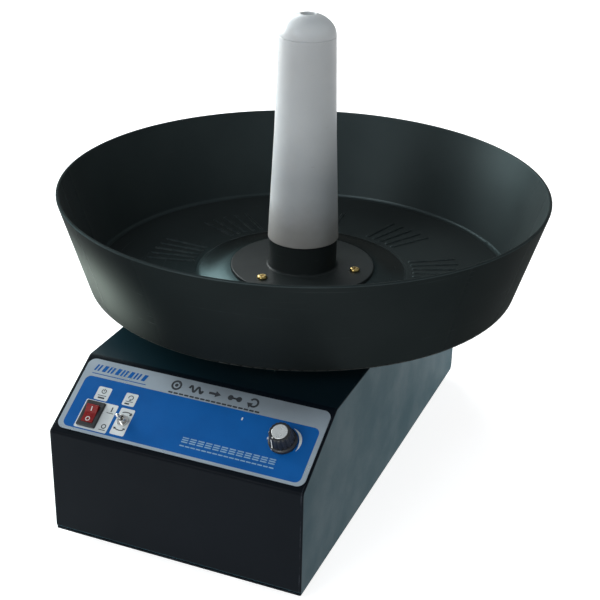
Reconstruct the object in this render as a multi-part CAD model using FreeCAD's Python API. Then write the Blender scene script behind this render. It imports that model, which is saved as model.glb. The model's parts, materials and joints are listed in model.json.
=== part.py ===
import FreeCAD, Part
import math
import os

# An automatic wire feeder: a motor-driven round pan that carries a coil of wire and turns on a
# spindle in a low sheet-metal cabinet with a sloped control panel. Millimetres. +X is the
# operator's right, +Y is away from the operator, +Z is up. The origin is on the bench, under the
# centre of the whole machine's footprint.

V = FreeCAD.Vector

# ---------------------------------------------------------------- driving dimensions
SHEET = 1.5                 # cabinet sheet thickness
FOOT_H = 6.5                # rubber foot height
CABINET_W = 200.0
CABINET_D = 368.5
FRONT_H = 84.0              # front face, from its lower edge to the panel's lower bend
TOP_H = 118.5               # lower edge to top
SLOPE_RUN = 60.0            # how far back the sloped panel reaches
SPINDLE_FROM_FRONT = 236.0
PAN_RIM_R = 199.0
PAN_BASE_R = 175.4          # outer corner of the pan's underside
POST_BASE_R = 29.1
POST_KNEE_R = 25.0          # half way up, where the post's taper eases
POST_SHOULDER_R = 22.6      # where the post's dome starts
HUB_R = 28.0
FLANGE_R = 60.0             # hub flange disc

# ---------------------------------------------------------------- places worked out from them
FRONT_Y = -(SPINDLE_FROM_FRONT + PAN_RIM_R) / 2
BACK_Y = FRONT_Y + CABINET_D
SPINDLE_Y = FRONT_Y + SPINDLE_FROM_FRONT
HALF_W = CABINET_W / 2
BASE_TOP = FOOT_H + SHEET   # the base plate lies between the feet and the cabinet's flanges
BEND_Z = BASE_TOP + FRONT_H
TOP_Z = BASE_TOP + TOP_H
CEILING_Z = TOP_Z - SHEET
SLOPE_ANGLE = math.degrees(math.atan2(TOP_Z - BEND_Z, SLOPE_RUN))
FLANGE_IN = 15.0            # width of the cabinet's turned-in bottom flanges
EDGE_BEND_R = 2.2           # outside radii of the cabinet's bends: bottom, back, top and front
BACK_BEND_R = 3.0
TOP_BEND_R = 6.0
FRONT_BEND_R = 3.2

# pan, heights above the bench
PAN_UNDER_Z = 141.2
PAN_FLOOR_Z = 143.5
PLATEAU_Z = 147.0
PAN_RIM_Z = 219.9
PAN_T = PAN_FLOOR_Z - PAN_UNDER_Z
PLATEAU_UNDER_Z = PLATEAU_Z - PAN_T
PLATEAU_FOOT_R = 84.7
PLATEAU_TOP_R = 65.0
PLATEAU_BEND_R = 60.0       # the long soft bends at the top and foot of the plateau's slope
PAN_CORNER_R = 3.5          # between the floor and the wall, inside
PAN_HOLE_R = 9.5

# hub and post
HUB_DISC_T = 2.0
HUB_DISC_ROUND = 1.2
HUB_FOOT_R = 2.0            # fillet between the disc and the hub
HUB_DISC_Z = PLATEAU_Z + HUB_DISC_T
HUB_TOP_Z = 173.9
SPIGOT_R = 25.0
SPIGOT_TOP_Z = HUB_TOP_Z + 12
POST_KNEE_Z = 262.0
SHOULDER_Z = 341.3
POST_TOP_Z = 358.0
POST_WALL = 3.5
SCREW_PITCH_R = 45.0        # the three brass screws
SCREW_ANGLES = [6, 126, 246]

# spindle, bearings (17 x 35 x 10) and housing
SHAFT_R = 8.5
SHOULDER_SHAFT_R = 10.5
BEARING_R = 17.5
BEARING_H = 10.0
UPPER_BEARING_Z = 112.0
LOWER_BEARING_Z = 46.0
SPINDLE_BOTTOM_Z = 21.0
SPINDLE_TOP_Z = 157.0
FIT = 0.02                  # radial gap of a pressed or located fit
HOUSING_FLANGE_R = 46.0
HOUSING_PITCH_R = 37.0
TABLE_R = 57.0              # turntable plate
TABLE_T = 5.0
BOSS_R = 22.0
BOSS_Z = 128.5
BOSS_SCREW_Z = 133.5        # height of the set screws in the turntable plate's boss

# belt drive
MOTOR_Y = 100.0
BELT_Z = 26.0               # underside of the belt
BELT_W = 10.0
BELT_T = 2.2
SPINDLE_PULLEY_R = 35.0
MOTOR_PULLEY_R = 14.0
BELT_GAP = 0.3
PULLEY_FLANGE = 3.5
PULLEY_WALL = 1.6
MOTOR_SHAFT_R = 5.0
GEARBOX_R = 31.0
GEARBOX_TOP_Z = 72.0
MOTOR_CAN_R = 27.0
MOTOR_TOP_Z = 116.0
BRACKET_T = 2.5
BRACKET_PLATE_Z = 42.5
BRACKET_HALF_W = 38.5
BRACKET_HALF_D = 34.0
BRACKET_FLANGE = 18.0
GEARBOX_PITCH_R = 23.0
GEARBOX_BOSS_R = 10.0
GEARBOX_BORE_TOP_Z = 61.0

# panel features, as (across from the middle, up the slope from the lower bend)
LABEL_LEFT, LABEL_RIGHT = -97.0, 98.0
LABEL_LOW, LABEL_HIGH = 4.6, 66.0
LABEL_T = 0.4
ROCKER_AT = (-74.6, 20.2)
TOGGLE_AT = (-48.4, 20.8)
KNOB_AT = (72.0, 35.0)
BEZEL_W, BEZEL_H = 15.5, 21.5
SWITCH_HOLE_W, SWITCH_HOLE_H, SWITCH_HOLE_ROUND = 13.2, 19.4, 0.6
TOGGLE_HOLE_R = 3.1
KNOB_HOLE_R = 3.6
ROCKER_TILT = 10.0
TOGGLE_TILT = 12.0
KNOB_R = 10.5
KNOB_H = 14.0
POINTER_REST = 150.0        # the pointer at rest, anticlockwise from straight up the slope

# electrics
BOARD_AT = (5.0, -122.0)
BOARD_W, BOARD_D, BOARD_T = 110.0, 80.0, 1.6
BOARD_Z = 19.0
INLET_AT = (-62.0, 46.0)    # (x, z) on the back
FUSE_AT = (62.0, 46.0)
VENT_AT = (0.0, 88.0)       # middle of the row of slots
VENT_COUNT = 12
VENT_PITCH = 8.0
VENT_W, VENT_H = 3.0, 30.0
INLET_HOLE_W, INLET_HOLE_H = 27.6, 20.4
INLET_SCREW_X = 20.0        # each side of the inlet's middle
INLET_SCREW_HOLE_R = 1.7
FUSE_HOLE_R = 6.4

# fasteners: shank radius, head radius, head height
M3 = (1.5, 2.9, 2.0)
M4 = (2.0, 4.0, 2.4)
M5 = (2.5, 4.8, 2.8)
CLEARANCE = 0.2             # round a shank in a clearance hole
# nuts: across flats, height
M3_NUT = (5.5, 2.4)
M4_NUT = (7.0, 3.2)
M5_NUT = (8.0, 4.0)


# ---------------------------------------------------------------- helpers
def rounded_wire(corners, place):
    """Closed wire through corners (a, b, radius), each rounded by a tangent arc of its radius."""
    tangents = []
    count = len(corners)
    for i in range(count):
        a, b, radius = corners[i]
        corner = V(a, b, 0)
        before = V(corners[i - 1][0], corners[i - 1][1], 0) - corner
        after = V(corners[(i + 1) % count][0], corners[(i + 1) % count][1], 0) - corner
        if radius <= 0:
            tangents.append((corner, None, corner))
            continue
        before.normalize()
        after.normalize()
        half = before.getAngle(after) / 2
        reach = radius / math.tan(half)
        middle = before + after
        middle.normalize()
        centre = corner + middle * (radius / math.sin(half))
        tangents.append((corner + before * reach, centre - middle * radius, corner + after * reach))
    edges = []
    for i in range(count):
        start, mid, end = tangents[i]
        if mid is not None:
            arc = Part.Arc(place(start.x, start.y), place(mid.x, mid.y), place(end.x, end.y))
            edges.append(arc.toShape())
        following = tangents[(i + 1) % count][0]
        if (following - end).Length > 1e-6:
            edges.append(Part.LineSegment(place(end.x, end.y), place(following.x, following.y)).toShape())
    return Part.Wire(edges)


def upright(a, b):
    """A profile point (radius, height) in the plane through the Z axis."""
    return V(a, 0, b)


def turned(corners, x=0.0, y=0.0):
    """Solid of revolution about the vertical line through (x, y), from corners (radius, z, rounding)."""
    face = Part.Face(rounded_wire(corners, upright))
    solid = face.revolve(V(0, 0, 0), V(0, 0, 1), 360)
    solid.translate(V(x, y, 0))
    return solid


def rounded_plate(width, depth, corner_r, thickness, x=0.0, y=0.0, z=0.0):
    """Flat plate centred on (x, y), its underside at z."""
    w, d = width / 2, depth / 2
    corners = [(-w, -d, corner_r), (w, -d, corner_r), (w, d, corner_r), (-w, d, corner_r)]
    plate = Part.Face(rounded_wire(corners, lambda a, b: V(a, b, 0))).extrude(V(0, 0, thickness))
    plate.translate(V(x, y, z))
    return plate


def box(low, high):
    return Part.makeBox(high[0] - low[0], high[1] - low[1], high[2] - low[2], V(*low))


def cylinder(radius, low_z, high_z, x=0.0, y=0.0):
    return Part.makeCylinder(radius, high_z - low_z, V(x, y, low_z))


def hexagon(across_flats, low_z, high_z, x=0.0, y=0.0):
    corner_r = across_flats / math.sqrt(3)
    points = [V(x + corner_r * math.cos(math.radians(60 * k)),
                y + corner_r * math.sin(math.radians(60 * k)), low_z) for k in range(7)]
    return Part.Face(Part.makePolygon(points)).extrude(V(0, 0, high_z - low_z))


def polar(radius, degrees, centre_y=SPINDLE_Y):
    """Plan position on a circle about the spindle, or about another axis on the centre line."""
    angle = math.radians(degrees)
    return radius * math.cos(angle), centre_y + radius * math.sin(angle)


def pan_head_screw(size, seat_z, length):
    """Cross-slotted pan-head screw on the Z axis: head above seat_z, shank below it."""
    shank_r, head_r, head_h = size
    corners = [(0, seat_z - length, 0), (shank_r, seat_z - length, 0.3), (shank_r, seat_z, 0),
               (head_r, seat_z, 0.2), (head_r, seat_z + head_h, head_h * 0.7), (0, seat_z + head_h, 0)]
    screw = turned(corners)
    arm, slot_half_w = head_r * 0.55, 0.45
    slot_floor = seat_z + head_h * 0.35
    for half_x, half_y in ((arm, slot_half_w), (slot_half_w, arm)):
        screw = screw.cut(box((-half_x, -half_y, slot_floor), (half_x, half_y, seat_z + head_h + 1)))
    return screw


def turned_over(shape, z):
    """The shape mirrored end for end about the horizontal line at height z."""
    copy = shape.copy()
    copy.rotate(V(0, 0, z), V(1, 0, 0), 180)
    return copy


def at(shape, x, y):
    copy = shape.copy()
    copy.translate(V(x, y, 0))
    return copy


def moved(shape, base, tilt):
    """The shape tilted about the X axis through the origin, then carried to base."""
    copy = shape.copy()
    copy.Placement = FreeCAD.Placement(base, FreeCAD.Rotation(V(1, 0, 0), tilt)).multiply(copy.Placement)
    return copy


def on_panel(shape, spot=(0.0, 0.0)):
    """Moves a shape built at the origin onto the sloped panel: its XY plane is the panel's face."""
    angle = math.radians(SLOPE_ANGLE)
    base = V(spot[0], FRONT_Y + spot[1] * math.cos(angle), BEND_Z + spot[1] * math.sin(angle))
    return moved(shape, base, SLOPE_ANGLE)


def facing_back(shape, x, z):
    """Moves a shape built upright at the origin so that its +Z points out of the cabinet's back."""
    return moved(shape, V(x, BACK_Y, z), -90)


def write(node, *solids):
    """Writes one sub-part. Several solids in it are identical pieces, or one piece's repeats."""
    shape = solids[0] if len(solids) == 1 else Part.makeCompound(list(solids))
    for solid in shape.Solids:
        if not solid.isValid():
            raise ValueError(node + " holds an invalid solid")
    shape.exportStep("parts/" + node + ".step")


# ---------------------------------------------------------------- cabinet
def side_outline(x):
    """The cabinet's outline seen from the side: front, sloped panel, top and back, as a face at x."""
    corners = [(FRONT_Y, BASE_TOP, EDGE_BEND_R), (BACK_Y, BASE_TOP, EDGE_BEND_R),
               (BACK_Y, TOP_Z, BACK_BEND_R), (FRONT_Y + SLOPE_RUN, TOP_Z, TOP_BEND_R),
               (FRONT_Y, BEND_Z, FRONT_BEND_R)]
    return Part.Face(rounded_wire(corners, lambda a, b: V(x, a, b)))


def base_screw_spots():
    """Screws through the base plate into the cabinet's bottom flanges."""
    flange_mid = FLANGE_IN / 2 + 1
    from_ends, from_middle = 70.0, 45.0
    sides = [FRONT_Y + from_ends, (FRONT_Y + BACK_Y) / 2, BACK_Y - from_ends]
    spots = [(side * (HALF_W - flange_mid), y) for side in (-1, 1) for y in sides]
    spots += [(x, FRONT_Y + flange_mid) for x in (-from_middle, from_middle)]
    spots += [(x, BACK_Y - flange_mid) for x in (-from_middle, from_middle)]
    return spots


def foot_spots():
    inset_x, inset_y = 32.0, 34.0
    return [(side * (HALF_W - inset_x), y) for side in (-1, 1)
            for y in (FRONT_Y + inset_y, BACK_Y - inset_y)]


def flange_screw_holes(shape):
    for x, y in base_screw_spots():
        shape = shape.cut(cylinder(M4[0] + FIT, BASE_TOP - 1, BASE_TOP + SHEET + 1, x, y))
    return shape


def bracket_spots():
    return [(side * (BRACKET_HALF_W + 8), MOTOR_Y + dy) for side in (-1, 1) for dy in (-22, 22)]


def housing_spots():
    return [polar(HOUSING_PITCH_R, 45 + 90 * k) for k in range(4)]


def cabinet_wrap():
    """One folded sheet: front, sloped panel, top, back and the two turned-in flanges."""
    length = CABINET_W - 2 * SHEET
    outer = side_outline(-length / 2)
    inner = outer.makeOffset2D(-SHEET)
    wrap = outer.extrude(V(length, 0, 0)).cut(inner.extrude(V(length, 0, 0)))
    wrap = wrap.cut(box((-length, FRONT_Y + FLANGE_IN, BASE_TOP - 1),
                        (length, BACK_Y - FLANGE_IN, BASE_TOP + SHEET + 0.5)))
    wrap = flange_screw_holes(wrap)
    spindle_hole_r = 15.0
    wrap = wrap.cut(cylinder(spindle_hole_r, CEILING_Z - 1, TOP_Z + 1, 0, SPINDLE_Y))
    for x, y in housing_spots() + bracket_spots():
        wrap = wrap.cut(cylinder(M5[0] + CLEARANCE, CEILING_Z - 1, TOP_Z + 1, x, y))
    deep, proud = -5 * SHEET, SHEET
    switch_hole = rounded_plate(SWITCH_HOLE_W, SWITCH_HOLE_H, SWITCH_HOLE_ROUND, proud - deep, z=deep)
    wrap = wrap.cut(on_panel(switch_hole, ROCKER_AT))
    wrap = wrap.cut(on_panel(cylinder(TOGGLE_HOLE_R, deep, proud), TOGGLE_AT))
    wrap = wrap.cut(on_panel(cylinder(KNOB_HOLE_R, deep, proud), KNOB_AT))
    inlet_hole = rounded_plate(INLET_HOLE_W, INLET_HOLE_H, 2.5, proud - deep, z=deep)
    wrap = wrap.cut(facing_back(inlet_hole, *INLET_AT))
    for side in (-1, 1):
        screw_hole = cylinder(INLET_SCREW_HOLE_R, deep, proud)
        wrap = wrap.cut(facing_back(screw_hole, INLET_AT[0] + side * INLET_SCREW_X, INLET_AT[1]))
    wrap = wrap.cut(facing_back(cylinder(FUSE_HOLE_R, deep, proud), *FUSE_AT))
    slot = rounded_plate(VENT_W, VENT_H, VENT_W / 2 - 0.05, proud - deep, z=deep)
    for k in range(VENT_COUNT):
        slot_x = VENT_AT[0] + (k - (VENT_COUNT - 1) / 2) * VENT_PITCH
        wrap = wrap.cut(facing_back(slot, slot_x, VENT_AT[1]))
    return wrap


def side_plate(side):
    """Flat side, welded to the ends of the wrap, with its own bottom flange."""
    plate = side_outline(0).extrude(V(SHEET, 0, 0))
    outside = [e for e in plate.Edges
               if all(abs(v.Point.x - SHEET) < 1e-6 for v in e.Vertexes)]
    plate = plate.makeFillet(1.0, outside)
    plate.translate(V(HALF_W - SHEET, 0, 0))
    clear = FLANGE_IN + 2
    plate = plate.fuse(box((HALF_W - FLANGE_IN, FRONT_Y + clear, BASE_TOP),
                           (HALF_W - SHEET / 2, BACK_Y - clear, BASE_TOP + SHEET)))
    plate = plate.removeSplitter()
    if side < 0:
        plate = plate.mirror(V(0, 0, 0), V(1, 0, 0))
    return flange_screw_holes(plate)


def base_plate():
    margin, corner_r = 0.3, 1.2
    middle_y = (FRONT_Y + BACK_Y) / 2
    plate = rounded_plate(CABINET_W - 2 * margin, CABINET_D - 2 * margin, corner_r, SHEET, 0, middle_y,
                          FOOT_H)
    for x, y in base_screw_spots() + foot_spots():
        plate = plate.cut(cylinder(M4[0] + 0.15, FOOT_H - 1, BASE_TOP + 1, x, y))
    for x, y in standoff_spots():
        plate = plate.cut(cylinder(M3[0] + 0.15, FOOT_H - 1, BASE_TOP + 1, x, y))
    return plate


RECESS_Z = 3.0              # roof of the screw recess in a foot
RECESS_R = 5.2
FOOT_LOW_R, FOOT_HIGH_R = 10.5, 12.0


def rubber_foot():
    bore_r = M4[0] + CLEARANCE
    corners = [(RECESS_R, 0, 0), (FOOT_LOW_R, 0, 1.5), (FOOT_HIGH_R, FOOT_H, 0.6), (bore_r, FOOT_H, 0),
               (bore_r, RECESS_Z, 0), (RECESS_R, RECESS_Z, 0)]
    return turned(corners)


def make_cabinet():
    write("cabinet_wrap", cabinet_wrap())
    write("left_side_plate", side_plate(-1))
    write("right_side_plate", side_plate(1))
    write("base_plate", base_plate())
    base_screw = turned_over(pan_head_screw(M4, FOOT_H, 7), FOOT_H)
    write("base_screws", *[at(base_screw, x, y) for x, y in base_screw_spots()])
    write("rubber_feet", *[at(rubber_foot(), x, y) for x, y in foot_spots()])
    foot_screw = turned_over(pan_head_screw(M4, RECESS_Z, 11), RECESS_Z)
    write("foot_screws", *[at(foot_screw, x, y) for x, y in foot_spots()])
    nut = hexagon(M4_NUT[0], BASE_TOP, BASE_TOP + M4_NUT[1]).cut(cylinder(M4[0] + FIT, 0, 30))
    write("foot_nuts", *[at(nut, x, y) for x, y in foot_spots()])


# ---------------------------------------------------------------- control panel
def control_label():
    width, height = LABEL_RIGHT - LABEL_LEFT, LABEL_HIGH - LABEL_LOW
    middle = ((LABEL_LEFT + LABEL_RIGHT) / 2, (LABEL_LOW + LABEL_HIGH) / 2)
    corner_r = 6.0
    label = rounded_plate(width, height, corner_r, LABEL_T, *middle)
    switch_hole = rounded_plate(SWITCH_HOLE_W, SWITCH_HOLE_H, SWITCH_HOLE_ROUND, 3, *ROCKER_AT, -1)
    label = label.cut(switch_hole)
    label = label.cut(cylinder(TOGGLE_HOLE_R, -1, 2, *TOGGLE_AT))
    label = label.cut(cylinder(KNOB_HOLE_R, -1, 2, *KNOB_AT))
    return on_panel(label)


BEZEL_T = 1.8
ROCKER_DEEP = 18.0
WELL_W, WELL_H = 9.8, 15.6  # the rocker's well


def rocker_housing():
    bezel = rounded_plate(BEZEL_W, BEZEL_H, 1.2, BEZEL_T, z=LABEL_T)
    rim = [e for e in bezel.Edges if all(abs(v.Point.z - LABEL_T - BEZEL_T) < 1e-6 for v in e.Vertexes)]
    bezel = bezel.makeFillet(0.7, rim)
    body = rounded_plate(12.8, 19.0, 0.5, ROCKER_DEEP + LABEL_T, z=-ROCKER_DEEP)
    housing = bezel.fuse(body).cut(rounded_plate(WELL_W, WELL_H, 0.5, 20, z=-8))
    for v in (-5, 5):
        housing = housing.fuse(box((-2.4, v - 0.4, -ROCKER_DEEP - 7), (2.4, v + 0.4, -ROCKER_DEEP)))
    return on_panel(housing.removeSplitter(), ROCKER_AT)


ROCKER_PIVOT = 0.4          # hinge line's height above the panel


def rocker_button():
    """Two faces in a shallow V, turned about the hinge line so that the lower half is pressed."""
    half_h, half_w = 7.2, 4.6
    face = rounded_wire([(-half_h, 3.3, 0.8), (0, 2.0, 5.0), (half_h, 3.3, 0.8), (half_h - 0.9, -3.6, 0.5),
                         (-half_h + 0.9, -3.6, 0.5)], lambda a, b: V(-half_w, a, b))
    button = Part.Face(face).extrude(V(2 * half_w, 0, 0))
    button.translate(V(0, 0, ROCKER_PIVOT))
    button.rotate(V(0, 0, ROCKER_PIVOT), V(1, 0, 0), ROCKER_TILT)
    pin_half = WELL_W / 2 - 0.05
    pins = Part.makeCylinder(1.0, 2 * pin_half, V(-pin_half, 0, ROCKER_PIVOT), V(1, 0, 0))
    button = button.fuse(pins).removeSplitter()
    return on_panel(button, ROCKER_AT)


TOGGLE_PIVOT = 3.2
TOGGLE_NUT_H = 2.0


def toggle_bushing():
    bushing = turned([(0, -10.5, 0), (2.95, -10.5, 0), (2.95, 5.6, 0.3), (2.1, 5.6, 0), (1.9, 1.5, 0),
                      (1.9, -2.5, 0), (0, -2.5, 0)])
    body = rounded_plate(8, 13, 0.5, 8, z=-SHEET - 9.5)
    body = body.fuse(bushing)
    for v in (-4.7, 0, 4.7):
        body = body.fuse(box((-1, v - 0.4, -16), (1, v + 0.4, -SHEET - 9.5)))
    return on_panel(body.removeSplitter(), TOGGLE_AT)


def toggle_nut():
    nut = hexagon(8, LABEL_T, LABEL_T + TOGGLE_NUT_H).cut(cylinder(2.95 + FIT, -1, 10))
    return on_panel(nut, TOGGLE_AT)


def toggle_lever():
    """Ball, thin neck and a rounded tip, tilted down the slope."""
    ball = Part.makeSphere(1.75, V(0, 0, TOGGLE_PIVOT))
    lever = turned([(0, TOGGLE_PIVOT, 0), (1.05, TOGGLE_PIVOT, 0), (1.45, TOGGLE_PIVOT + 10.2, 1.2),
                    (0, TOGGLE_PIVOT + 10.2, 0)])
    pin = Part.makeCylinder(0.5, 3.6, V(-1.8, 0, TOGGLE_PIVOT), V(1, 0, 0))
    lever = ball.fuse(lever).fuse(pin).removeSplitter()
    lever.rotate(V(0, 0, TOGGLE_PIVOT), V(1, 0, 0), TOGGLE_TILT)
    return on_panel(lever, TOGGLE_AT)


def potentiometer():
    body = turned([(0, -13, 0), (8.2, -13, 0.6), (8.2, -SHEET - 2.2, 0.6), (3.45, -SHEET - 2.2, 0),
                   (3.45, 4.4, 0.3), (3.1, 4.4, 0), (3.1, -9.5, 0), (0, -9.5, 0)])
    washer = turned([(3.4, -SHEET - 2.3, 0), (6, -SHEET - 2.3, 0), (6, -SHEET, 0), (3.4, -SHEET, 0)])
    body = body.fuse(washer)
    for u in (-5, 0, 5):
        body = body.fuse(box((u - 1, -15, -6.6), (u + 1, -6, -6)))
    return on_panel(body.removeSplitter(), KNOB_AT)


POT_NUT_H = 2.0


def potentiometer_nut():
    nut = hexagon(10, LABEL_T, LABEL_T + POT_NUT_H).cut(cylinder(3.45 + FIT, -1, 10))
    return on_panel(nut, KNOB_AT)


def potentiometer_shaft():
    shaft = cylinder(3.0, -9, KNOB_H - 3)
    return on_panel(shaft, KNOB_AT)


KNOB_GAP = 0.4              # between the label and the knob's skirt
CAP_R = 5.8
CAP_T = 0.9


def speed_knob():
    """Skirted knob with finger flutes, bored for its shaft and cap."""
    low = LABEL_T + KNOB_GAP
    knob = turned([(0, low, 0), (KNOB_R, low, 0.5), (KNOB_R, 3.4, 0.8), (9.3, 3.9, 0.3),
                   (8.0, KNOB_H, 1.0), (0, KNOB_H, 0)])
    flute_count = 16
    for k in range(flute_count):
        angle = math.radians(POINTER_REST + 90 + 360 / flute_count * (k + 0.5))
        out = V(math.cos(angle), math.sin(angle), 0)
        flute = Part.makeCylinder(1.15, KNOB_H, out * 9.75 + V(0, 0, 4.4), out * -0.13 + V(0, 0, 1))
        knob = knob.cut(flute)
    knob = knob.cut(cylinder(CAP_R + 0.1, KNOB_H - 0.5, KNOB_H + 1))
    knob = knob.cut(cylinder(3.0 + FIT, -1, KNOB_H - 3))
    knob = knob.cut(cylinder(6.6, -1, LABEL_T + POT_NUT_H + 0.6))
    knob = knob.cut(cylinder(3.9, -1, 5.2))
    return on_panel(knob, KNOB_AT)


def knob_cap():
    cap = turned([(0, KNOB_H - 0.5, 0), (CAP_R, KNOB_H - 0.5, 0), (CAP_R, KNOB_H + CAP_T - 0.5, 0.3),
                  (0, KNOB_H + CAP_T - 0.5, 0)])
    return on_panel(cap, KNOB_AT)


def make_panel():
    write("control_label", control_label())
    write("rocker_housing", rocker_housing())
    write("rocker_button", rocker_button())
    write("toggle_switch_body", toggle_bushing())
    write("toggle_nut", toggle_nut())
    write("toggle_lever", toggle_lever())
    write("potentiometer", potentiometer())
    write("potentiometer_nut", potentiometer_nut())
    write("potentiometer_shaft", potentiometer_shaft())
    write("speed_knob", speed_knob())
    write("knob_cap", knob_cap())


# ---------------------------------------------------------------- pan, hub and post
MARK_COUNT = 9              # groups of raised ribs round the pan floor
MARK_RIBS = 5
MARK_FIRST = 25.0
RIB_STEP = 4.6
RIB_INNER_R = 92.0
RIB_OUTER_R = 133.0
RIB_W = 3.4
RIB_H = 0.9
RIB_CHAMFER = 0.7
RIB_ROOT = 0.6              # how deep each rib is sunk into the floor


def pan():
    """Thin-walled pan with a raised middle, a flared wall, a rounded rim and ribs on its floor."""
    rim_t = 2.8
    rim_round = 1.1
    outer_corner_r = 4.5
    wall_low_r = PAN_BASE_R - 2.0
    offset = 0.2                # keeps the slope as thick as the floor
    corners = [(PAN_HOLE_R, PLATEAU_UNDER_Z, 0),
               (PLATEAU_TOP_R - offset, PLATEAU_UNDER_Z, PLATEAU_BEND_R - PAN_T),
               (PLATEAU_FOOT_R - offset, PAN_UNDER_Z, PLATEAU_BEND_R + PAN_T),
               (PAN_BASE_R, PAN_UNDER_Z, outer_corner_r), (PAN_RIM_R, PAN_RIM_Z, rim_round),
               (PAN_RIM_R - rim_t, PAN_RIM_Z, rim_round), (wall_low_r, PAN_FLOOR_Z, PAN_CORNER_R),
               (PLATEAU_FOOT_R, PAN_FLOOR_Z, PLATEAU_BEND_R), (PLATEAU_TOP_R, PLATEAU_Z, PLATEAU_BEND_R),
               (PAN_HOLE_R, PLATEAU_Z, 0)]
    shape = turned(corners)
    length = RIB_OUTER_R - RIB_INNER_R
    rib = rounded_plate(length, RIB_W, RIB_W / 2 - 0.01, RIB_H + RIB_ROOT, RIB_INNER_R + length / 2, 0,
                        PAN_FLOOR_Z - RIB_ROOT)
    top = [e for e in rib.Edges if all(v.Point.z > PAN_FLOOR_Z + RIB_H - 0.01 for v in e.Vertexes)]
    rib = rib.makeChamfer(RIB_CHAMFER, top)
    ribs = []
    for mark in range(MARK_COUNT):
        for k in range(MARK_RIBS):
            copy = rib.copy()
            turn = MARK_FIRST + mark * 360 / MARK_COUNT + (k - (MARK_RIBS - 1) / 2) * RIB_STEP
            copy.rotate(V(0, 0, 0), V(0, 0, 1), turn)
            ribs.append(copy)
    shape = shape.multiFuse(ribs).removeSplitter()
    shape = shape.cut(Part.makeCompound(screw_holes(PAN_UNDER_Z - 1, PLATEAU_Z + 1, 0.2)))
    shape.translate(V(0, SPINDLE_Y, 0))
    return shape


def screw_holes(low_z, high_z, gap):
    """Cylinders for the three brass screws, about the origin."""
    return [cylinder(M5[0] + gap, low_z, high_z, *polar(SCREW_PITCH_R, a, 0)) for a in SCREW_ANGLES]


def hub_flange():
    """Disc and round hub in one piece, with a spigot that centres the post."""
    thread_r = TIE_BOLT_R + FIT
    spindle_bore_r = SHAFT_R + FIT
    bore_end_z = SPINDLE_TOP_Z + 0.5
    corners = [(spindle_bore_r, PLATEAU_Z, 0), (FLANGE_R, PLATEAU_Z, 0),
               (FLANGE_R, HUB_DISC_Z, HUB_DISC_ROUND), (HUB_R, HUB_DISC_Z, HUB_FOOT_R),
               (HUB_R, HUB_TOP_Z, 0.8), (SPIGOT_R, HUB_TOP_Z, 0), (SPIGOT_R, SPIGOT_TOP_Z, 1.0),
               (thread_r, SPIGOT_TOP_Z, 0), (thread_r, bore_end_z, 0), (spindle_bore_r, bore_end_z, 0)]
    shape = turned(corners).cut(Part.makeCompound(screw_holes(PLATEAU_Z - 1, HUB_DISC_Z + 1, 0.2)))
    shape.translate(V(0, SPINDLE_Y, 0))
    return shape


TIE_BOLT_R = 3.0
TIE_BOLT_GAP = 0.3          # round the bolt where it passes the post's inner shoulder
BOLT_SOCKET = (5.0, 3.0)    # across flats, depth
BOLT_SEAT_Z = 346.0         # where the tie bolt's head bears inside the post
BOLT_HEAD_R = 4.9
BOLT_HEAD_H = 6.0
POST_HOLE_R = 5.6
GROOVE = 0.35               # depth of the fine groove under the dome


def post():
    """Hollow tapered sleeve with a domed, bored top, its dome half an ellipse in section."""
    inner_base_r = POST_BASE_R - POST_WALL
    inner_top_r = POST_SHOULDER_R - POST_WALL
    mouth_chamfer = 0.7
    mouth_r = POST_HOLE_R + mouth_chamfer
    bolt_hole_r = TIE_BOLT_R + TIE_BOLT_GAP
    ceiling_z = SHOULDER_Z - 6
    last = math.acos(mouth_r / POST_SHOULDER_R)
    scale = (POST_TOP_Z - SHOULDER_Z) / math.sin(last)
    ellipse = Part.Ellipse(V(0, 0, SHOULDER_Z), POST_SHOULDER_R, scale)
    arc = Part.ArcOfEllipse(ellipse, 0, last).toShape()
    arc.rotate(V(0, 0, SHOULDER_Z), V(1, 0, 0), 90)
    taper = (POST_KNEE_R - POST_SHOULDER_R) / (SHOULDER_Z - POST_KNEE_Z)
    path = [V(mouth_r, 0, POST_TOP_Z), V(POST_HOLE_R, 0, POST_TOP_Z - mouth_chamfer),
            V(POST_HOLE_R, 0, BOLT_SEAT_Z),
            V(bolt_hole_r, 0, BOLT_SEAT_Z), V(bolt_hole_r, 0, ceiling_z), V(inner_top_r, 0, ceiling_z),
            V(POST_KNEE_R - POST_WALL, 0, POST_KNEE_Z), V(inner_base_r, 0, HUB_TOP_Z),
            V(POST_BASE_R - 0.5, 0, HUB_TOP_Z), V(POST_BASE_R, 0, HUB_TOP_Z + 0.5),
            V(POST_KNEE_R, 0, POST_KNEE_Z),
            V(POST_SHOULDER_R + 2 * GROOVE * taper, 0, SHOULDER_Z - 2 * GROOVE),
            V(POST_SHOULDER_R - GROOVE, 0, SHOULDER_Z - GROOVE), V(POST_SHOULDER_R, 0, SHOULDER_Z)]
    edges = [Part.LineSegment(path[i], path[i + 1]).toShape() for i in range(len(path) - 1)]
    face = Part.Face(Part.Wire([arc] + edges))
    solid = face.revolve(V(0, 0, 0), V(0, 0, 1), 360)
    solid.translate(V(0, SPINDLE_Y, 0))
    return solid


def post_tie_bolt():
    """Long socket-head bolt from the post's top hole down into the hub."""
    end_z, head_top = SPINDLE_TOP_Z + 4, BOLT_SEAT_Z + BOLT_HEAD_H
    corners = [(0, end_z, 0), (TIE_BOLT_R, end_z, 0.4), (TIE_BOLT_R, BOLT_SEAT_Z, 0),
               (BOLT_HEAD_R, BOLT_SEAT_Z, 0), (BOLT_HEAD_R, head_top, 0.5), (0, head_top, 0)]
    bolt = turned(corners)
    bolt = bolt.cut(hexagon(BOLT_SOCKET[0], head_top - BOLT_SOCKET[1], head_top + 1))
    bolt.translate(V(0, SPINDLE_Y, 0))
    return bolt


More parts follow.
